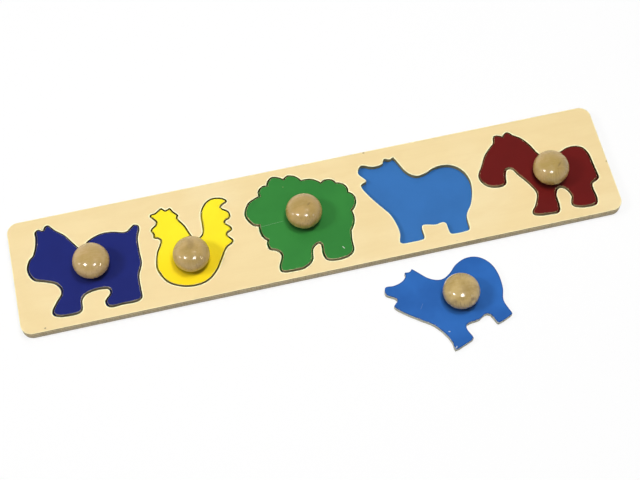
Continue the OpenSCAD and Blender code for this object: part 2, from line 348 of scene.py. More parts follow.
def makeGrainGroup(figure):  # wood figure: long streaks, fine fibres and broad clouds, all about 0.5
    tree, ins = newGroup("woodGrain", Streaks=1.0, Fibres=1.0)
    wander = noiseValue(tree, ins["Vector"], figure["swayScale"], 2.0)
    shift = put(tree, "ShaderNodeCombineXYZ", {"Y": times(tree, wander, figure["sway"] * mm)})
    bent = put(tree, "ShaderNodeVectorMath", {0: ins["Vector"], 1: shift.outputs[0]}).outputs[0]
    wide = drawnNoise(tree, bent, figure["wide"], 4.0, 0.55)
    narrow = drawnNoise(tree, bent, figure["narrow"], 3.0, 0.6)
    streaks = summed(tree, wide, narrow, figure["wideShare"])
    fibres = drawnNoise(tree, bent, figure["fibres"], 3.0, 0.65)
    return withOutputs(
        tree,
        Streaks=contrast(tree, streaks, ins["Streaks"]),
        Fibres=contrast(tree, fibres, ins["Fibres"]),
        Clouds=noiseValue(tree, ins["Vector"], figure["clouds"], 2.0),
    )


plyFigure = dict(
    coreEnds=(0.2, 0.24),  # shares of the sheet, counted from its middle
    seam=0.22,
    seamWidth=0.028,
    wave=0.06,
    waveScale=90.0,
    sawMarks=(0.7, 0.7, 12),
    pores=(1.1, 1.1, 0.4),
)


def makePlyGroup(figure):  # a sawn edge: middle ply, glue seams, the saw's upright marks and pores
    tree, ins = newGroup("plywoodEdge", Height=0.0, Sheet=4 * mm)
    wave = calc(tree, "SUBTRACT", noiseValue(tree, ins["Vector"], figure["waveScale"], 2.0), 0.5)
    level = calc(tree, "DIVIDE", ins["Height"], ins["Sheet"])
    level = calc(tree, "MULTIPLY_ADD", wave, figure["wave"], level)
    fromMiddle = apart(tree, level, 0.5)
    fromSeam = apart(tree, fromMiddle, figure["seam"])
    return withOutputs(
        tree,
        Core=fade(tree, fromMiddle, *figure["coreEnds"]),
        Seam=fade(tree, fromSeam, 0.0, figure["seamWidth"]),
        Marks=drawnNoise(tree, ins["Vector"], figure["sawMarks"], 3.0, 0.6),
        Pores=drawnNoise(tree, ins["Vector"], figure["pores"], 4.0, 0.7),
    )


wearFigure = dict(
    coarse=260.0,
    fine=1300.0,
    coarseShare=0.7,
    limit=0.8,  # of what Amount leaves whole
    chipEdge=0.03,
    shadeRim=(0.1, 1.0),
    shadeNoise=(0.3, 0.6),
)


def makeWearGroup(figure):  # worn rims: Rim is 1 on an edge and falls to 0 beside it
    tree, ins = newGroup("rimWear", Rim=0.0, Amount=0.4)
    coarse = noiseValue(tree, ins["Vector"], figure["coarse"], 4.0, 0.6)
    fine = noiseValue(tree, ins["Vector"], figure["fine"], 3.0, 0.6)
    rough = times(tree, ins["Rim"], summed(tree, coarse, fine, figure["coarseShare"]))
    limit = times(tree, calc(tree, "SUBTRACT", 1.0, ins["Amount"]), figure["limit"])
    chips = spread(tree, calc(tree, "SUBTRACT", rough, limit), 0.0, figure["chipEdge"])
    nearRim = spread(tree, ins["Rim"], *figure["shadeRim"])
    shade = times(tree, nearRim, spread(tree, coarse, *figure["shadeNoise"]))
    return withOutputs(tree, Chips=chips, Shade=shade)


speckFigure = dict(least=0.05, more=0.16)  # a speck's radius, in shares of its cell


def makeSpeckGroup(figure):  # sparse round specks; Share is the share of cells that have one
    tree, ins = newGroup("sparseSpecks", Scale=100.0, Share=0.05)
    values = {"Vector": ins["Vector"], "Scale": ins["Scale"]}
    cells = put(tree, "ShaderNodeTexVoronoi", values).outputs
    chance = put(tree, "ShaderNodeSeparateColor", {0: cells["Color"]}).outputs
    chosen = calc(tree, "LESS_THAN", chance[0], ins["Share"])
    radius = calc(tree, "MULTIPLY_ADD", chance[1], figure["more"], figure["least"])
    disc = calc(tree, "LESS_THAN", cells["Distance"], radius)
    return withOutputs(tree, Mask=times(tree, chosen, disc))


filmFigure = dict(fibres=(30, 1.1, 4), peelShare=0.6, tone=36.0)


def makeFilmGroup(figure):  # a rolled film of paint or lacquer, with the wood's fibres under it
    tree, ins = newGroup("paintFilm", Scale=420.0)
    peel = noiseValue(tree, ins["Vector"], ins["Scale"], 2.0)
    under = drawnNoise(tree, ins["Vector"], figure["fibres"], 3.0, 0.6)
    height = summed(tree, peel, under, figure["peelShare"])
    tone = noiseValue(tree, ins["Vector"], figure["tone"], 3.0, 0.55)
    return withOutputs(tree, Height=height, Tone=tone)


scratchFigure = dict(
    breaks=7.0,  # scale, and the noise from where to where the scratch shows
    breakEnds=(0.36, 0.5),
    wobble=1.2,
    lengthEnds=(0.44, 0.5),
    widthEnds=(0.3, 1.0),
)


def makeScratchGroup(figure):  # a scratch one unit long on X, its half width one unit on Y
    tree, ins = newGroup("thinScratch")
    broken = noiseValue(tree, ins["Vector"], figure["breaks"], 3.0, 0.7)
    fromMiddle = calc(tree, "ABSOLUTE", along(tree, ins["Vector"], "X"))
    wobble = times(tree, calc(tree, "SUBTRACT", broken, 0.5), figure["wobble"])
    across = calc(tree, "ADD", along(tree, ins["Vector"], "Y"), wobble)
    inLength = fade(tree, fromMiddle, *figure["lengthEnds"])
    inWidth = fade(tree, calc(tree, "ABSOLUTE", across), *figure["widthEnds"])
    shown = spread(tree, broken, *figure["breakEnds"])
    return withOutputs(tree, Mask=times(tree, times(tree, inLength, inWidth), shown))


knotFigure = dict(ragged=1.7, raggedScale=2.6, ends=(0.25, 1.05))


def makeKnotGroup(figure):  # a dark knot or mineral streak, one unit round, with a ragged edge
    tree, ins = newGroup("darkKnot")
    noise = noiseValue(tree, ins["Vector"], figure["raggedScale"], 4.0, 0.65)
    uneven = calc(tree, "SUBTRACT", noise, 0.5)
    reach = calc(tree, "MULTIPLY_ADD", uneven, figure["ragged"], lengthOf(tree, ins["Vector"]))
    return withOutputs(tree, Mask=fade(tree, reach, *figure["ends"]))


woodGrain = makeGrainGroup(grainFigure)
plywoodEdge = makePlyGroup(plyFigure)
rimWear = makeWearGroup(wearFigure)
sparseSpecks = makeSpeckGroup(speckFigure)
paintFilm = makeFilmGroup(filmFigure)
thinScratch = makeScratchGroup(scratchFigure)
darkKnot = makeKnotGroup(knotFigure)


def newMaterial(name):
    material = bpy.data.materials.new(name)
    tree = emptyTree(material)
    shader = put(tree, "ShaderNodeBsdfPrincipled")
    put(tree, "ShaderNodeOutputMaterial", {0: shader.outputs[0]})
    coords = put(tree, "ShaderNodeTexCoord").outputs["Object"]
    return material, tree, shader.inputs, coords


def attributeValue(tree, name):
    return put(tree, "ShaderNodeAttribute", attribute_name=name).outputs["Fac"]


def bumpFrom(tree, height, strength, depth):  # depth in mm
    values = {"Strength": strength, "Distance": depth * mm, "Height": height}
    return put(tree, "ShaderNodeBump", values).outputs[0]


def finishSurface(tree, shader, look, colour, height):  # height makes the bump and the roughness
    rough = look["roughness"]
    values = {
        "Base Color": colour,
        "Roughness": spread(tree, height, *rough) if isinstance(rough, tuple) else rough,
        "Normal": bumpFrom(tree, height, *look["bump"]),
        "Specular IOR Level": look["gloss"],
    }
    fill(tree, shader, values)


def placed(tree, coords, place, turn=0, size=(1, 1, 1)):  # coords about a mark, in units of its size
    values = {
        "Vector": coords,
        "Location": Vector(place) * mm,
        "Rotation": (0, 0, math.radians(turn)),
        "Scale": Vector(size) * mm,
    }
    return put(tree, "ShaderNodeMapping", values, vector_type="TEXTURE").outputs[0]


# In these looks a tint's three numbers are the noise where it starts, the noise where it is full,
# and its largest share; a bump's two are its strength and its depth in mm; a roughness that
# changes has two noise values and the roughness at each
topWoodLook = dict(  # the pale lacquered face of the top board
    base=(0.895, 0.71, 0.375),
    warm=(0.84, 0.64, 0.315),
    light=(0.94, 0.79, 0.475),
    # a pale rim round the openings: partly sanded wood, partly a painted highlight
    rim=(1.0, 0.95, 0.60),
    speck=(0.20, 0.13, 0.07),
    streaks=(0.40, 0.66, 0.3),
    clouds=(0.48, 0.72, 0.4),
    blotches=(0.42, 0.62, 0.3),
    blotchSizes=(30, 12, 30),  # mm
    fibres=(0.3, 0.75, 0.1),
    wear=0.35,
    rimHighlightBand=(0.05, 0.5, 0.0, 0.7),
    wornCream=0.3,
    specks=dict(Scale=210.0, Share=0.006),
    speckShare=0.75,
    roughness=(0.2, 0.8, 0.36, 0.5),
    bump=(0.25, 0.05),
    gloss=0.35,
    knots=[
        dict(place=(-184.7, -37.9, 7.5), turn=20, size=(0.9, 0.7, 1.5)),
        dict(place=(41.8, 39.2, 7.5), turn=0, size=(1.1, 0.6, 1.5)),
        dict(place=(199.2, -4.0, 7.5), turn=70, size=(0.9, 0.5, 1.5)),
    ],
)


def topWood(look):
    material, tree, shader, coords = newMaterial("pale_top_wood")
    grain = useGroup(tree, woodGrain, Vector=coords)
    blotches = drawnNoise(tree, coords, look["blotchSizes"], 4.0, 0.6)
    colour = tinted(tree, look["base"], look["warm"], grain["Streaks"], *look["streaks"])
    colour = tinted(tree, colour, look["light"], grain["Clouds"], *look["clouds"])
    colour = tinted(tree, colour, look["warm"], blotches, *look["blotches"])
    colour = tinted(tree, colour, look["warm"], grain["Fibres"], *look["fibres"])
    rim = attributeValue(tree, "rim")
    wear = useGroup(tree, rimWear, Vector=coords, Rim=rim, Amount=look["wear"])
    # the pale rim: partly bare sanded wood, partly a painted highlight along the edge
    paleRimAndHighlight = spread(tree, rim, *look["rimHighlightBand"])
    paleRimAndHighlight = calc(tree, "MULTIPLY_ADD", wear["Shade"], look["wornCream"], paleRimAndHighlight)
    colour = blendColour(tree, paleRimAndHighlight, colour, look["rim"])
    marks = useGroup(tree, sparseSpecks, Vector=coords, **look["specks"])["Mask"]
    for knot in look["knots"]:
        mask = useGroup(tree, darkKnot, Vector=placed(tree, coords, **knot))["Mask"]
        marks = calc(tree, "MAXIMUM", marks, mask)
    colour = marked(tree, colour, look["speck"], marks, look["speckShare"])
    finishSurface(tree, shader, look, colour, grain["Fibres"])
    return material


# Sawn edges of plywood: the tones of each kind of edge, and its sheet's thickness in mm
edgeTones = dict(
    top=dict(ply=(0.49, 0.39, 0.225), core=(0.66, 0.55, 0.36), seam=(0.18, 0.13, 0.075), sheet=4.0),
    # painted shade: the opening walls, far darker than the board's outer edge of the same wood
    opening=dict(ply=(0.15, 0.10, 0.035), core=(0.11, 0.075, 0.025), seam=(0.04, 0.027, 0.01), sheet=4.0),
    base=dict(ply=(0.63, 0.545, 0.39), core=(0.47, 0.41, 0.29), seam=(0.17, 0.13, 0.08), sheet=3.5),
    loose=dict(ply=(0.60, 0.60, 0.50), core=(0.50, 0.50, 0.42), seam=(0.20, 0.19, 0.14), sheet=4.0),
    # painted shade: the edges of plates in their openings, darker than the loose plate's
    placed=dict(ply=(0.48, 0.36, 0.16), core=(0.40, 0.29, 0.12), seam=(0.13, 0.09, 0.04), sheet=4.0),
)
edgeFinish = dict(
    seamShare=0.7,
    marks=(0.45, 0.75, 0.45),
    pores=(0.56, 0.72, 0.0, 0.5),
    gapShade=(0.05, 0.033, 0.011),  # painted shade: the brown dark of the narrow gap round a plate in its opening
    wornScale=150.0,
    wornReach=2.6,  # mm down from the arris, the upper corner, at most
    wornFade=0.5,
    frontLightTone=(0.98, 0.84, 0.50),  # painted light: paler wood on the sides that face the front, where light falls
    facing=(0.3, 0.9),
    roughness=0.75,
    seamRelief=0.5,
    bump=(0.35, 0.12),
    gloss=0.04,
)
# Painted light: the empty opening's walls get a lighter, lit copy of the opening walls' tone
litEmptyWall = dict(middle=70.6, reach=36.5, tone=(0.60, 0.50, 0.24), share=0.65)  # mm along the board


def sawnEdge(name, tones, gapShade=0.0, arris=0.0, worn=None, near=0.0, empty=None):
    finish = edgeFinish
    material, tree, shader, coords = newMaterial(name)
    height = attributeValue(tree, "plyHeight")
    edge = useGroup(tree, plywoodEdge, Vector=coords, Height=height, Sheet=tones["sheet"] * mm)
    colour = blendColour(tree, edge["Core"], tones["ply"], tones["core"])
    colour = marked(tree, colour, tones["seam"], edge["Seam"], finish["seamShare"])
    colour = tinted(tree, colour, tones["seam"], edge["Marks"], *finish["marks"])
    pores = times(tree, spread(tree, edge["Pores"], *finish["pores"]), edge["Core"])
    colour = blendColour(tree, pores, colour, tones["seam"])
    if empty:  # the wall of the empty opening, a lighter, lit copy of the others: painted light
        fromMiddle = apart(tree, along(tree, coords, "X"), empty["middle"] * mm)
        clean = calc(tree, "LESS_THAN", fromMiddle, empty["reach"] * mm)
        colour = marked(tree, colour, empty["tone"], clean, empty["share"])
    # painted shade of the narrow gap, over the whole edge
    if gapShade:
        colour = blendColour(tree, gapShade, colour, finish["gapShade"])
    if arris:
        noise = noiseValue(tree, coords, finish["wornScale"], 3.0, 0.6)
        reach = calc(tree, "MULTIPLY_ADD", noise, -finish["wornReach"] * mm, tones["sheet"] * mm)
        above = calc(tree, "SUBTRACT", height, reach)
        colour = tinted(tree, colour, worn, above, 0.0, finish["wornFade"] * mm, arris)
    # painted light: walls that face the front are made paler
    if near:
        facing = attributeValue(tree, "nearSide")
        colour = tinted(tree, colour, finish["frontLightTone"], facing, *finish["facing"], near)
    relief = calc(tree, "SUBTRACT", edge["Marks"], times(tree, edge["Seam"], finish["seamRelief"]))
    finishSurface(tree, shader, finish, colour, relief)
    return material


backLook = dict(  # bare plywood: the undersides, and the base board round the coloured floors
    base=(0.60, 0.46, 0.27),
    dark=(0.40, 0.28, 0.15),
    light=(0.70, 0.57, 0.37),
    grain=dict(Streaks=1.5, Fibres=1.4),
    streaks=(0.42, 0.7),
    clouds=(0.45, 0.7, 0.6),
    fibres=(0.4, 0.8, 0.5),
    specks=dict(Scale=180.0, Share=0.03),
    speckShare=0.5,
    roughness=0.8,
    bump=(0.4, 0.08),
    gloss=0.2,
)


def backWood(look):
    material, tree, shader, coords = newMaterial("bare_back_wood")
    grain = useGroup(tree, woodGrain, Vector=coords, **look["grain"])
    colour = tinted(tree, look["base"], look["dark"], grain["Streaks"], *look["streaks"])
    colour = tinted(tree, colour, look["light"], grain["Clouds"], *look["clouds"])
    colour = tinted(tree, colour, look["dark"], grain["Fibres"], *look["fibres"])
    specks = useGroup(tree, sparseSpecks, Vector=coords, **look["specks"])["Mask"]
    colour = marked(tree, colour, look["dark"], specks, look["speckShare"])
    finishSurface(tree, shader, look, colour, grain["Fibres"])
    return material


# Paint on the animals and on the floors of their openings
paintFinish = dict(
    film=420.0,
    deep=(0.35, 0.7, 0.35),
    paintedBellyShade=(4.0, -16.0),  # mm on Y, from where to where the painted shade comes in, warmer and darker
    rimShare=0.75,
    dust=dict(Scale=240.0, Share=0.012),
    dustShare=0.25,
    chipShare=0.75,
    bare=(0.66, 0.52, 0.32),
    scratch=(0.80, 0.84, 0.76),
    roundScale=110.0,
    roundNoise=(0.36, 0.56),
    roundBand=(0.05, 0.3),
    ringBand=(0.1, 0.5),
    ringSides=(0.3, -0.1),  # the painted shade fades out on the near sides
    roughness=(0.3, 0.7, 0.38, 0.5),
    bump=(0.1, 0.03),
    gloss=0.15,
)
# Painted shadow under each knob: the paint darkens round its foot, out to its widest ring
knobShadow = dict(full=10.4, ends=12.2, share=0.65, tone=0.15)  # distances in mm from the knob's axis


def paintedFace(name, paint, deep, chips=0.3, marks=(), paintedBellyShade=None, corner=None, knob=None):
    finish = paintFinish
    material, tree, shader, coords = newMaterial(name)
    film = useGroup(tree, paintFilm, Vector=coords, Scale=finish["film"])
    rim = attributeValue(tree, "rim")
    worn = useGroup(tree, rimWear, Vector=coords, Rim=rim, Amount=chips)
    tone = tinted(tree, paint, deep, film["Tone"], *finish["deep"])
    if paintedBellyShade:  # painted shade: the lower part of the animal, warmer and darker
        start, full = (level * mm for level in finish["paintedBellyShade"])
        tone = tinted(tree, tone, paintedBellyShade, along(tree, coords, "Y"), start, full)
    tone = marked(tree, tone, deep, worn["Shade"], finish["rimShare"])
    for mark in marks:
        vector = placed(tree, coords, mark["place"], mark["turn"], mark["size"])
        mask = useGroup(tree, thinScratch, Vector=vector)["Mask"]
        tone = marked(tree, tone, finish["scratch"], mask, mark["share"])
    dust = useGroup(tree, sparseSpecks, Vector=coords, **finish["dust"])["Mask"]
    tone = marked(tree, tone, finish["bare"], dust, finish["dustShare"])
    tone = marked(tree, tone, finish["bare"], worn["Chips"], finish["chipShare"])
    if corner:  # the rounded corner: pale where the paint is worn, and on the hippo a painted shade
        noise = noiseValue(tree, coords, finish["roundScale"], 3.0, 0.6)
        uneven = spread(tree, noise, *finish["roundNoise"], corner["least"], 1.0)
        band = spread(tree, attributeValue(tree, "arris"), *finish["roundBand"])
        if "ring" in corner:  # painted shade past the rounding, on the sides that face away and not on the near sides
            beside = spread(tree, rim, *finish["ringBand"], 0.0, corner["ring"])
            away = spread(tree, attributeValue(tree, "nearSide"), *finish["ringSides"])
            band = calc(tree, "MAXIMUM", band, times(tree, beside, away))
        tone = marked(tree, tone, corner["tone"], times(tree, band, uneven), corner["share"])
    if knob:  # painted shadow: the paint darkens under the knob's round side, where its contact shadow falls
        values = {0: placed(tree, coords, knob / mm), 1: (1, 1, 0)}
        level = put(tree, "ShaderNodeVectorMath", values, operation="MULTIPLY").outputs[0]
        knobShadowMask = spread(tree, lengthOf(tree, level), knobShadow["ends"], knobShadow["full"])
        knobShadowTone = tuple(knobShadow["tone"] * value for value in deep)
        tone = marked(tree, tone, knobShadowTone, knobShadowMask, knobShadow["share"])
    finishSurface(tree, shader, finish, tone, film["Height"])
    return material


# Clear lacquer over turned wood
lacquer = dict(
    film=160.0,
    mottleSizes=(11, 9, 20),  # mm
    mottle=(0.38, 0.62),
    fleckSizes=(0.6, 3.5, 3.5),
    endGrain=(4.0, 10.0),  # mm to the near and far side, where the flecks come in
    leastFlecks=0.1,
    darkFlecks=(0.5, 0.72),
    paleFlecks=(0.46, 0.3, 0.0, 0.22),
    knot=(0.20, 0.125, 0.055),
    pale=(0.62, 0.46, 0.22),
    roughness=(0.3, 0.7, 0.22, 0.34),
    bump=(0.12, 0.05),
    gloss=0.25,
    coat=0.8,
)


def lacqueredKnob(name, look, foot):
    material, tree, shader, coords = newMaterial(name)
    film = useGroup(tree, paintFilm, Vector=coords, Scale=lacquer["film"])
    mottle = drawnNoise(tree, coords, lacquer["mottleSizes"], 2.0)
    colour = tinted(tree, look["tint"], look["warm"], mottle, *lacquer["mottle"])
    fromMiddle = apart(tree, along(tree, coords, "Y"), foot.y)
    start, full = (reach * mm for reach in lacquer["endGrain"])
    endGrain = spread(tree, fromMiddle, start, full, lacquer["leastFlecks"], 1.0)
    flecks = drawnNoise(tree, coords, lacquer["fleckSizes"], 3.0, 0.6)
    dark = times(tree, spread(tree, flecks, *lacquer["darkFlecks"]), endGrain)
    colour = marked(tree, colour, lacquer["knot"], dark, look["dark"])
    pale = times(tree, spread(tree, flecks, *lacquer["paleFlecks"]), endGrain)
    colour = blendColour(tree, pale, colour, lacquer["pale"])
    for knot in look["knots"]:
        place = foot / mm + Vector(knot["off"])
        vector = placed(tree, coords, place, knot["turn"], knot["size"])
        mask = useGroup(tree, darkKnot, Vector=vector)["Mask"]
        colour = marked(tree, colour, lacquer["knot"], mask, knot["share"])
    finishSurface(tree, shader, lacquer, colour, film["Height"])
    fill(tree, shader, {"Coat Weight": lacquer["coat"], "Coat Roughness": look["coatRoughness"]})
    return material


steelLook = dict(
    light=(0.62, 0.62, 0.60),
    dark=(0.42, 0.43, 0.44),
    scale=900.0,
    roughness=(0.3, 0.7, 0.28, 0.45),
    bump=(0.15, 0.03),
    gloss=0.5,
)


def screwSteel(look):
    material, tree, shader, coords = newMaterial("zinc_screw_steel")
    grey = noiseValue(tree, coords, look["scale"], 3.0, 0.6)
    colour = blendColour(tree, grey, look["light"], look["dark"])
    finishSurface(tree, shader, look, colour, grey)
    fill(tree, shader, {"Metallic": 1.0})
    return material


print("node groups and material makers ready")

# Sawn pieces: the node's outline, with its upper and lower rims rounded by a few small insets
rimTests = dict(
    grid=0.0001 * mm,  # points that share a place on this grid are the same
    level=0.004 * mm,  # how far a flat face's points may be off its height
    onFace=0.01 * mm,
    crossed=0.02,  # a strip that tilts further has crossed over
    capTilt=0.5,
    faceTilt=0.05,
    backTilt=-0.99,
)


def placeKey(place):
    return tuple(round(value / rimTests["grid"]) for value in place)


def capAt(piece, side, level, outer=()):  # tells the flat faces at this height, inside the outer ring
    points = piece.data.vertices

    def isCap(face):
        places = [points[index].co for index in face.vertices]
        flat = all(abs(place.z - level) < rimTests["level"] for place in places)
        facing = face.normal.z * side > rimTests["capTilt"]
        return flat and facing and not any(placeKey(place) in outer for place in places)

    return isCap


def capPoints(piece):
    return {index for face in piece.data.polygons if face.select for index in face.vertices}


def capPlaces(piece):
    return {placeKey(piece.data.vertices[index].co) for index in capPoints(piece)}


def insetCap(piece, side, level, inward, upward):  # one step, and tips that cross over are closed
    objectMode()
    outer = capPlaces(piece)
    editMode("FACE")
    bpy.ops.mesh.inset(thickness=inward, depth=0, use_even_offset=False)
    bpy.ops.transform.translate(value=(0, 0, side * upward))
    objectMode()
    cap = capPoints(piece)
    crossed = set()
    for face in piece.data.polygons:
        if not face.select and face.normal.z * side < rimTests["crossed"]:
            crossed |= cap & set(face.vertices)
    if crossed:
        editMode("VERT")
        bpy.ops.mesh.select_all(action="DESELECT")
        objectMode()
        for index in crossed:
            piece.data.vertices[index].select = True
        editMode("VERT")
        bpy.ops.mesh.merge(type="COLLAPSE")
        objectMode()
        pickFaces(piece, capAt(piece, side, level + side * upward, outer))
    editMode("FACE")


def roundRim(piece, side, radius, steps, ring):  # gives the places of the points inside the rim
    heights = [vertex.co.z for vertex in piece.data.vertices]
    level = max(heights) if side > 0 else min(heights)
    pickFaces(piece, capAt(piece, side, level))
    bpy.ops.transform.translate(value=(0, 0, -side * radius))
    level -= side * radius
    for step in range(steps):
        here, there = (math.radians(90 * k / steps) for k in (step, step + 1))
        inward = radius * (math.cos(here) - math.cos(there))
        upward = radius * (math.sin(there) - math.sin(here))
        insetCap(piece, side, level, inward, upward)
        level += side * upward
    insetCap(piece, side, level, ring, 0)
    objectMode()
    return capPlaces(piece)


# Values of a sawn piece's points, for its materials:
# rim is 1 on its edges and 0 inside them, and plyHeight is in metres above its underside
# arris runs from 0 on the upper face to 1 where its rounding ends
# nearSide is 1 on walls that face the front and -1 on walls that face away
pointValues = ("rim", "plyHeight", "arris", "nearSide")
outerWearAndHighlight = 0.35  # of the full rim value, for wear and the painted highlight, on the outer rim of a board with openings
leastSideways = 0.05


def sawnPiece(node, name, rims, materials, margin=None):
    low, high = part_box(node)
    piece = copyOfNode(node, name)
    inner = set()
    for side, values in rims.items():
        inner |= roundRim(piece, side, values["radius"] * mm, values["steps"], values["ring"] * mm)

    def nearOutside(place):  # within the margin of the board's own sides
        return min(high.x - abs(place.x), high.y - abs(place.y)) < margin * mm

    mesh = piece.data
    for title in pointValues:
        mesh.attributes.new(title, "FLOAT", "POINT")
    rim, height, arris, near = (mesh.attributes[title].data for title in pointValues)
    rounding = rims[1]["radius"] * mm
    for vertex in mesh.vertices:
        index, place, normal = vertex.index, vertex.co, vertex.normal
        onFace = min(place.z - low.z, high.z - place.z) < rimTests["onFace"]
        full = outerWearAndHighlight if margin and nearOutside(place) else 1.0
        rim[index].value = 0.0 if onFace and placeKey(place) in inner else full
        height[index].value = place.z - low.z
        arris[index].value = min(1.0, (high.z - place.z) / rounding)
        near[index].value = -normal.y / max(math.hypot(normal.x, normal.y), leastSideways)
    for material in materials:
        mesh.materials.append(material)
    faceSlot, edgeSlot, backSlot, wallSlot = range(4)
    upper = high.z - rounding
    for face in mesh.polygons:
        if face.normal.z < rimTests["backTilt"]:
            face.material_index = backSlot
        elif face.center.z > upper - rimTests["onFace"] and face.normal.z > rimTests["faceTilt"]:
            face.material_index = faceSlot
        elif margin and not nearOutside(face.center):
            face.material_index = wallSlot
        else:
            face.material_index = edgeSlot
    smoothShade(piece, smoothAngles["sawn"])
    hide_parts(node)
    return piece


# Rims in mm: 1 is the upper rim and -1 the lower; ring is the width of the worn band beside it
openingMargin = 4.5  # mm, less than the openings keep from the board's sides
boardRims = {1: dict(radius=0.25, steps=4, ring=0.75), -1: dict(radius=0.15, steps=2, ring=0.2)}
baseRims = {1: dict(radius=0.15, steps=2, ring=0.2), -1: dict(radius=0.5, steps=4, ring=0.5)}


def makeBoards(bare):
    topMaterials = [
        topWood(topWoodLook),
        sawnEdge("top_board_sawn_edge", edgeTones["top"]),
        bare,
        sawnEdge("opening_sawn_wall", edgeTones["opening"], empty=litEmptyWall),
    ]
    top = sawnPiece("frame_board", "top_board", boardRims, topMaterials, openingMargin)
    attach(top, "board")
    baseEdge = sawnEdge("base_board_sawn_edge", edgeTones["base"])
    base = sawnPiece("backing_board", "base_board", baseRims, [bare, baseEdge, bare])
    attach(base, "board")


# The animals: paint, the corner of the paint (worn, and on the hippo a painted shade), the sawn edge, and
# the floor of the opening.
# The marks are scratches and nicks seen in the photo, in mm and degrees.
plateRims = {1: dict(radius=0.32, steps=4, ring=0.3), -1: dict(radius=0.2, steps=3, ring=0.3)}
looseRims = {1: dict(radius=0.32, steps=4, ring=0.6), -1: dict(radius=0.2, steps=3, ring=0.3)}
animalLooks = dict(
    dog=dict(
        colour="navy",
        face=dict(
            paint=(0.013, 0.021, 0.170), deep=(0.010, 0.015, 0.12),
            corner=dict(tone=(0.62, 0.58, 0.52), share=0.75, least=0.4),
            marks=[dict(place=(-121.0, -30.5, 7.8), turn=8, size=(3.0, 0.22, 1.0), share=0.5)],
        ),
        edge=dict(gapShade=0.7, arris=0.9, worn=(0.62, 0.60, 0.56), near=0.6),
        floor=(0.013, 0.021, 0.16),
    ),
    rooster=dict(
        colour="yellow",
        face=dict(
            paint=(0.975, 0.85, 0.024), deep=(0.90, 0.68, 0.015),
            # painted shade on the lower body
            paintedBellyShade=(0.99, 0.735, 0.012),
            corner=dict(tone=(0.97, 0.88, 0.36), share=0.7, least=0.4),
        ),
        edge=dict(gapShade=0.85, arris=0.9, worn=(0.42, 0.29, 0.008), near=0.4),
        floor=(0.86, 0.70, 0.02),
    ),
    sheep=dict(
        colour="green",
        face=dict(
            paint=(0.036, 0.235, 0.042), deep=(0.022, 0.16, 0.030),
            corner=dict(tone=(0.78, 0.66, 0.36), share=1.0, least=0.4),
            marks=[
                dict(place=(-30.0, 1.0, 7.8), turn=3.2, size=(18.0, 0.1, 1.0), share=0.35),
                dict(place=(12.5, -26.0, 7.8), turn=-57, size=(2.2, 0.34, 1.0), share=1.0),
            ],
        ),
        edge=dict(gapShade=0.75, arris=0.8, worn=(0.42, 0.36, 0.12), near=0.9),
        floor=(0.03, 0.20, 0.038),
    ),
    hippo=dict(
        colour="blue",
        face=dict(
            paint=(0.028, 0.148, 0.492), deep=(0.007, 0.052, 0.235),
            # painted shade: the hippo's rounded rim dark, and the band beside it dark on the sides that face
            # away
            corner=dict(tone=(0.017, 0.090, 0.32), share=1.0, least=0.9, ring=0.9),
            marks=[
                dict(place=(64.6, -96.8, 4.0), turn=-10, size=(1.2, 0.45, 1.0), share=0.75),
                dict(place=(65.9, -108.3, 4.0), turn=45, size=(2.8, 0.5, 1.0), share=0.6),
                dict(place=(52.0, -76.2, 4.0), turn=55, size=(4.5, 0.15, 1.0), share=0.18),
            ],
        ),
        edge=dict(arris=0.25, worn=(0.80, 0.72, 0.52)),
        floor=(0.039, 0.170, 0.475),
    ),
    horse=dict(
        colour="maroon",
        face=dict(
            paint=(0.140, 0.008, 0.007), deep=(0.095, 0.007, 0.006),
            corner=dict(tone=(0.58, 0.36, 0.16), share=0.85, least=0.4),
        ),
        edge=dict(gapShade=0.6, arris=0.9, worn=(0.48, 0.32, 0.15), near=0.8),
        floor=(0.12, 0.010, 0.008),
    ),
)
floorDepth = 0.75  # of a floor's tone, where its paint is thicker


def makeAnimals(looks, bare):
    for animal in animals:
        look = looks[animal]
        colour = look["colour"]
        loose = animal == "hippo"  # it lies on the table, and the others lie in their openings
        face = paintedFace(colour + "_painted_face", knob=footOf(animal + "_knob"), **look["face"])
        tones = edgeTones["loose" if loose else "placed"]
        edge = sawnEdge(colour + "_plate_sawn_edge", tones, **look["edge"])
        rims = looseRims if loose else plateRims
        plate = sawnPiece(animal + "_plate", animal + "_sawn_plate", rims, [face, edge, bare])
        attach(plate, animal)
        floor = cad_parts[animal + "_floor"].data
        deep = tuple(floorDepth * value for value in look["floor"])
        floor.materials.clear()
        floor.materials.append(paintedFace(colour + "_painted_floor", look["floor"], deep, chips=0))


bareBack = backWood(backLook)
makeBoards(bareBack)
makeAnimals(animalLooks, bareBack)
print("boards and painted animals made")

# The turned knob: a flattened ball of tangent arcs, spun from its profile
knobShape = dict(
    rise=8.75,  # mm, from the widest ring to the top
    sideShare=0.9,  # of the rise, the radius of the round side
    baseRadius=6.5,
    boreRadius=1.85,
    boreDepth=10.875,
    boreTip=0.6,
    boreChamfer=0.3,
    footStep=0.35,  # a small turned step where the knob meets the paint
    lowSteps=5,
    sideSteps=18,
    domeSteps=14,
    spinSteps=96,
)
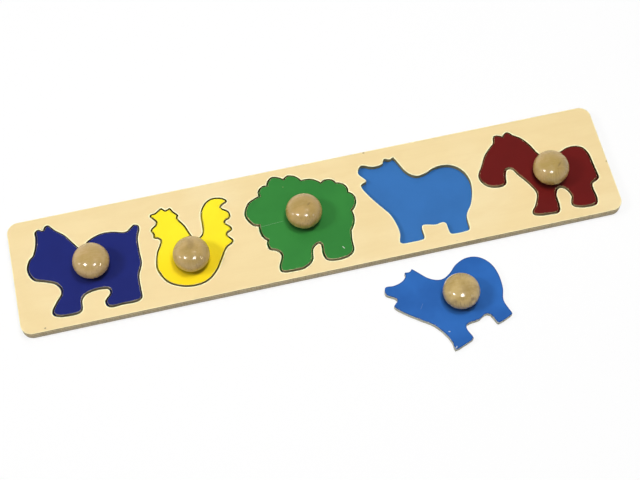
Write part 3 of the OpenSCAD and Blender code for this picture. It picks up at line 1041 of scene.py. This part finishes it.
# Each knob's own tint, end grain and knots; a knot's place is in mm from the middle of the foot
knobLooks = dict(
    dog=dict(tint=(0.48, 0.327, 0.115), warm=(0.525, 0.355, 0.145), dark=0.35, coatRoughness=0.07, knots=[]),
    rooster=dict(
        tint=(0.425, 0.289, 0.092), warm=(0.52, 0.354, 0.128), dark=0.4, coatRoughness=0.08,
        knots=[dict(off=(0.8, 3.5, 16.0), turn=80, size=(6.0, 3.0, 5.0), share=0.3)],
    ),
    sheep=dict(
        tint=(0.426, 0.288, 0.088), warm=(0.50, 0.331, 0.113), dark=0.6, coatRoughness=0.12,
        knots=[dict(off=(3.3, 0.2, 15.9), turn=35, size=(2.2, 0.8, 3.0), share=0.55)],
    ),
    hippo=dict(
        tint=(0.437, 0.301, 0.093), warm=(0.56, 0.402, 0.157), dark=0.6, coatRoughness=0.1,
        knots=[
            dict(off=(4.4, -8.8, 12.9), turn=25, size=(2.3, 1.3, 3.0), share=0.6),
            dict(off=(-6.9, -7.7, 12.4), turn=-35, size=(3.0, 1.4, 4.0), share=0.35),
            dict(off=(2.8, -2.2, 15.5), turn=20, size=(7.0, 6.0, 6.0), share=0.26),
        ],
    ),
    horse=dict(
        tint=(0.44, 0.305, 0.093), warm=(0.492, 0.331, 0.125), dark=0.5, coatRoughness=0.13,
        knots=[
            dict(off=(3.8, -2.5, 15.6), turn=42, size=(3.4, 0.75, 5.0), share=0.6),
            dict(off=(8.0, -2.0, 13.5), turn=70, size=(5.0, 4.5, 6.0), share=0.3),
        ],
    ),
)


def knobProfile(shape, radius):  # points in mm, from the bore's tip round the outside to the top
    base, rise = shape["baseRadius"], shape["rise"]
    side = shape["sideShare"] * rise
    sideX = radius - side
    step = rise - side
    drop = (sideX**2 - step**2) / (2 * step)
    dome = rise + drop
    meet = math.atan2(sideX, drop)  # where dome and side touch, from the vertical
    foot = math.asin(base / dome)
    ring = math.sqrt(dome**2 - base**2) - drop  # height of the widest ring
    bore, tip = shape["boreRadius"], shape["boreDepth"]
    chamfer, notch = shape["boreChamfer"], shape["footStep"]
    points = [
        (0, tip + shape["boreTip"]),
        (bore, tip),
        (bore, chamfer),
        (bore + chamfer, 0),
        (base - notch, 0),
        (base - notch / 3, notch / 4),
        (base, notch / 1.5),
    ]
    for k in range(1, shape["lowSteps"] + 1):
        turn = foot + (meet - foot) * k / shape["lowSteps"]
        height = ring + drop - dome * math.cos(turn)
        if height > notch:
            points.append((dome * math.sin(turn), height))
    for k in range(1, shape["sideSteps"] + 1):
        turn = meet + (math.pi - 2 * meet) * k / shape["sideSteps"]
        points.append((sideX + side * math.sin(turn), ring - side * math.cos(turn)))
    for k in range(1, shape["domeSteps"] + 1):
        turn = meet * (1 - k / shape["domeSteps"])
        points.append((dome * math.sin(turn), ring - drop + dome * math.cos(turn)))
    return points


# Spinning leaves the faces in a new order each time, so they are sorted by how far they are
# from this place (mm), which stands off every axis of the shape
sortPlace = (21, 13.7, -6)


def spinProfile(name, points, steps):  # one vertex extruded along the profile, then spun about Z
    bpy.ops.mesh.primitive_plane_add(size=1 * mm, location=(0, 0, 0))
    piece = bpy.context.object
    piece.name = name
    editMode("VERT")
    bpy.ops.mesh.select_all(action="SELECT")
    bpy.ops.mesh.merge(type="CENTER")
    here, *others = [Vector((x, 0, z)) * mm for x, z in points]
    bpy.ops.transform.translate(value=here)
    for there in others:
        bpy.ops.mesh.extrude_region_move(TRANSFORM_OT_translate={"value": there - here})
        here = there
    bpy.ops.mesh.select_all(action="SELECT")
    bpy.ops.mesh.spin(steps=steps, angle=math.tau, center=(0, 0, 0), axis=(0, 0, 1))
    bpy.ops.mesh.select_all(action="SELECT")
    bpy.context.scene.cursor.location = Vector(sortPlace) * mm
    bpy.ops.mesh.sort_elements(type="CURSOR_DISTANCE", elements={"EDGE", "FACE"})
    bpy.ops.mesh.remove_doubles(threshold=mergeGap)
    bpy.ops.mesh.normals_make_consistent(inside=False)
    objectMode()
    return piece


def makeKnobs(shape, looks):
    low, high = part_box("dog_knob")
    radius = (high.x - low.x) / 2 / mm
    model = spinProfile("knob_model", knobProfile(shape, radius), shape["spinSteps"])
    smoothShade(model, smoothAngles["knob"])
    for animal in animals:
        foot = footOf(animal + "_knob")
        knob = copyTo(model, animal + "_turned_knob", foot)
        knob.data.materials.clear()
        knob.data.materials.append(lacqueredKnob(animal + "_knob_lacquer", looks[animal], foot))
        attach(knob, animal)
        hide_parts(animal + "_knob")
    bpy.data.objects.remove(model)


# Countersunk wood screws, driven from below: the head's face is at the bottom
screwShape = dict(
    headRadius=3.5,  # mm
    headHeight=1.75,
    headBevel=(0.25, 0.2),  # in from the head's rim, and up
    shankRadius=1.75,
    plain=2.2,  # smooth neck above the head
    coreRadius=1.3,
    coreStep=0.2,  # half the height of the step from shank to core
    tipLength=3.2,
    tipRadius=0.55,
    bluntLength=0.9,
    threadTurns=6.5,
    turnSteps=24,
    threadSize=0.43,
    threadStart=0.3,  # above the neck
    threadEnd=1.0,  # below the tip
    fadeIn=0.06,  # of the thread's length
    fadeOut=0.28,
    endReach=0.25,  # of the full reach and size, at the point
    endSize=0.35,
    leastSize=0.25,
    slotSize=(4.2, 0.95, 1.0),  # length, width and depth of one slot of the cross
    slotTaper=(0.45, 0.6, 1),
    flatWithin=0.1,  # degrees
    recessGap=0.005,  # points of the recess that are closer become one
    spinSteps=48,
)


def screwProfile(shape, length):
    inward, upward = shape["headBevel"]
    neck = shape["headHeight"] + shape["plain"]
    return [
        (0, 0),
        (shape["headRadius"] - inward, 0),
        (shape["headRadius"], upward),
        (shape["shankRadius"], shape["headHeight"]),
        (shape["shankRadius"], neck - shape["coreStep"]),
        (shape["coreRadius"], neck + shape["coreStep"]),
        (shape["coreRadius"], length - shape["tipLength"]),
        (shape["tipRadius"], length - shape["bluntLength"]),
        (0, length),
    ]


def upTo(least, share):  # from least up to 1
    return least + (1 - least) * share


def addThread(body, shape, length):  # a helix with a three-cornered ridge, fading at the point
    bottom = shape["headHeight"] + shape["plain"] + shape["threadStart"]
    tall = length - bottom - shape["threadEnd"]
    curve = bpy.data.curves.new("thread_line", "CURVE")
    curve.dimensions = "3D"
    line = curve.splines.new("POLY")
    count = int(shape["threadTurns"] * shape["turnSteps"])
    line.points.add(count)
    for k, point in enumerate(line.points):
        share = k / count
        fadeIn = min(1.0, share / shape["fadeIn"])
        fadeOut = min(1.0, (1 - share) / shape["fadeOut"])
        around = math.tau * shape["threadTurns"] * share
        reach = shape["coreRadius"] * upTo(shape["endReach"], fadeOut)
        place = Vector((reach * math.cos(around), reach * math.sin(around), bottom + tall * share))
        point.co = (*(place * mm), 1)
        point.radius = max(shape["leastSize"], fadeIn * upTo(shape["endSize"], fadeOut))
    curve.bevel_depth = shape["threadSize"] * mm
    curve.bevel_resolution = 0
    curve.use_fill_caps = True
    thread = bpy.data.objects.new("thread", curve)
    bpy.context.scene.collection.objects.link(thread)
    pickOnly(thread)
    bpy.ops.object.convert(target="MESH")
    body.select_set(True)
    bpy.context.view_layer.objects.active = body
    bpy.ops.object.join()


def cutSlot(body, shape, degrees):  # with a tapered blade
    length, width, depth = shape["slotSize"]
    bpy.ops.mesh.primitive_cube_add(size=1 * mm, location=(0, 0, 0))
    blade = bpy.context.object
    blade.scale = (length, width, depth * 2)
    bpy.ops.object.transform_apply(location=False, rotation=False, scale=True)
    pickFaces(blade, lambda face: face.normal.z > 0.9)
    bpy.ops.transform.resize(value=shape["slotTaper"])
    bpy.ops.mesh.select_all(action="SELECT")
    turn = math.radians(degrees)
    bpy.ops.transform.rotate(value=turn, orient_axis="Z", center_override=(0, 0, 0))
    objectMode()
    applyModifier(body, "BOOLEAN", object=blade, operation="DIFFERENCE", solver="EXACT")
    bpy.data.objects.remove(blade)


def makeScrews(shape, look):
    low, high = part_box("dog_screw")
    length = (high.z - low.z) / mm
    model = spinProfile("screw_model", screwProfile(shape, length), shape["spinSteps"])
    for degrees in (0, 90):  # the cross recess
        cutSlot(model, shape, degrees)
    pickFaces(model, lambda face: True)
    bpy.ops.mesh.dissolve_limited(angle_limit=math.radians(shape["flatWithin"]))
    bpy.ops.mesh.remove_doubles(threshold=shape["recessGap"] * mm)
    objectMode()
    addThread(model, shape, length)
    smoothShade(model, smoothAngles["screw"])
    model.data.materials.clear()
    model.data.materials.append(screwSteel(look))
    for animal in animals:
        screw = copyTo(model, animal + "_wood_screw", footOf(animal + "_screw"))
        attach(screw, animal)
        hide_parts(animal + "_screw")
    bpy.data.objects.remove(model)


makeKnobs(knobShape, knobLooks)
print("knobs turned")
makeScrews(screwShape, steelLook)
print("screws made")
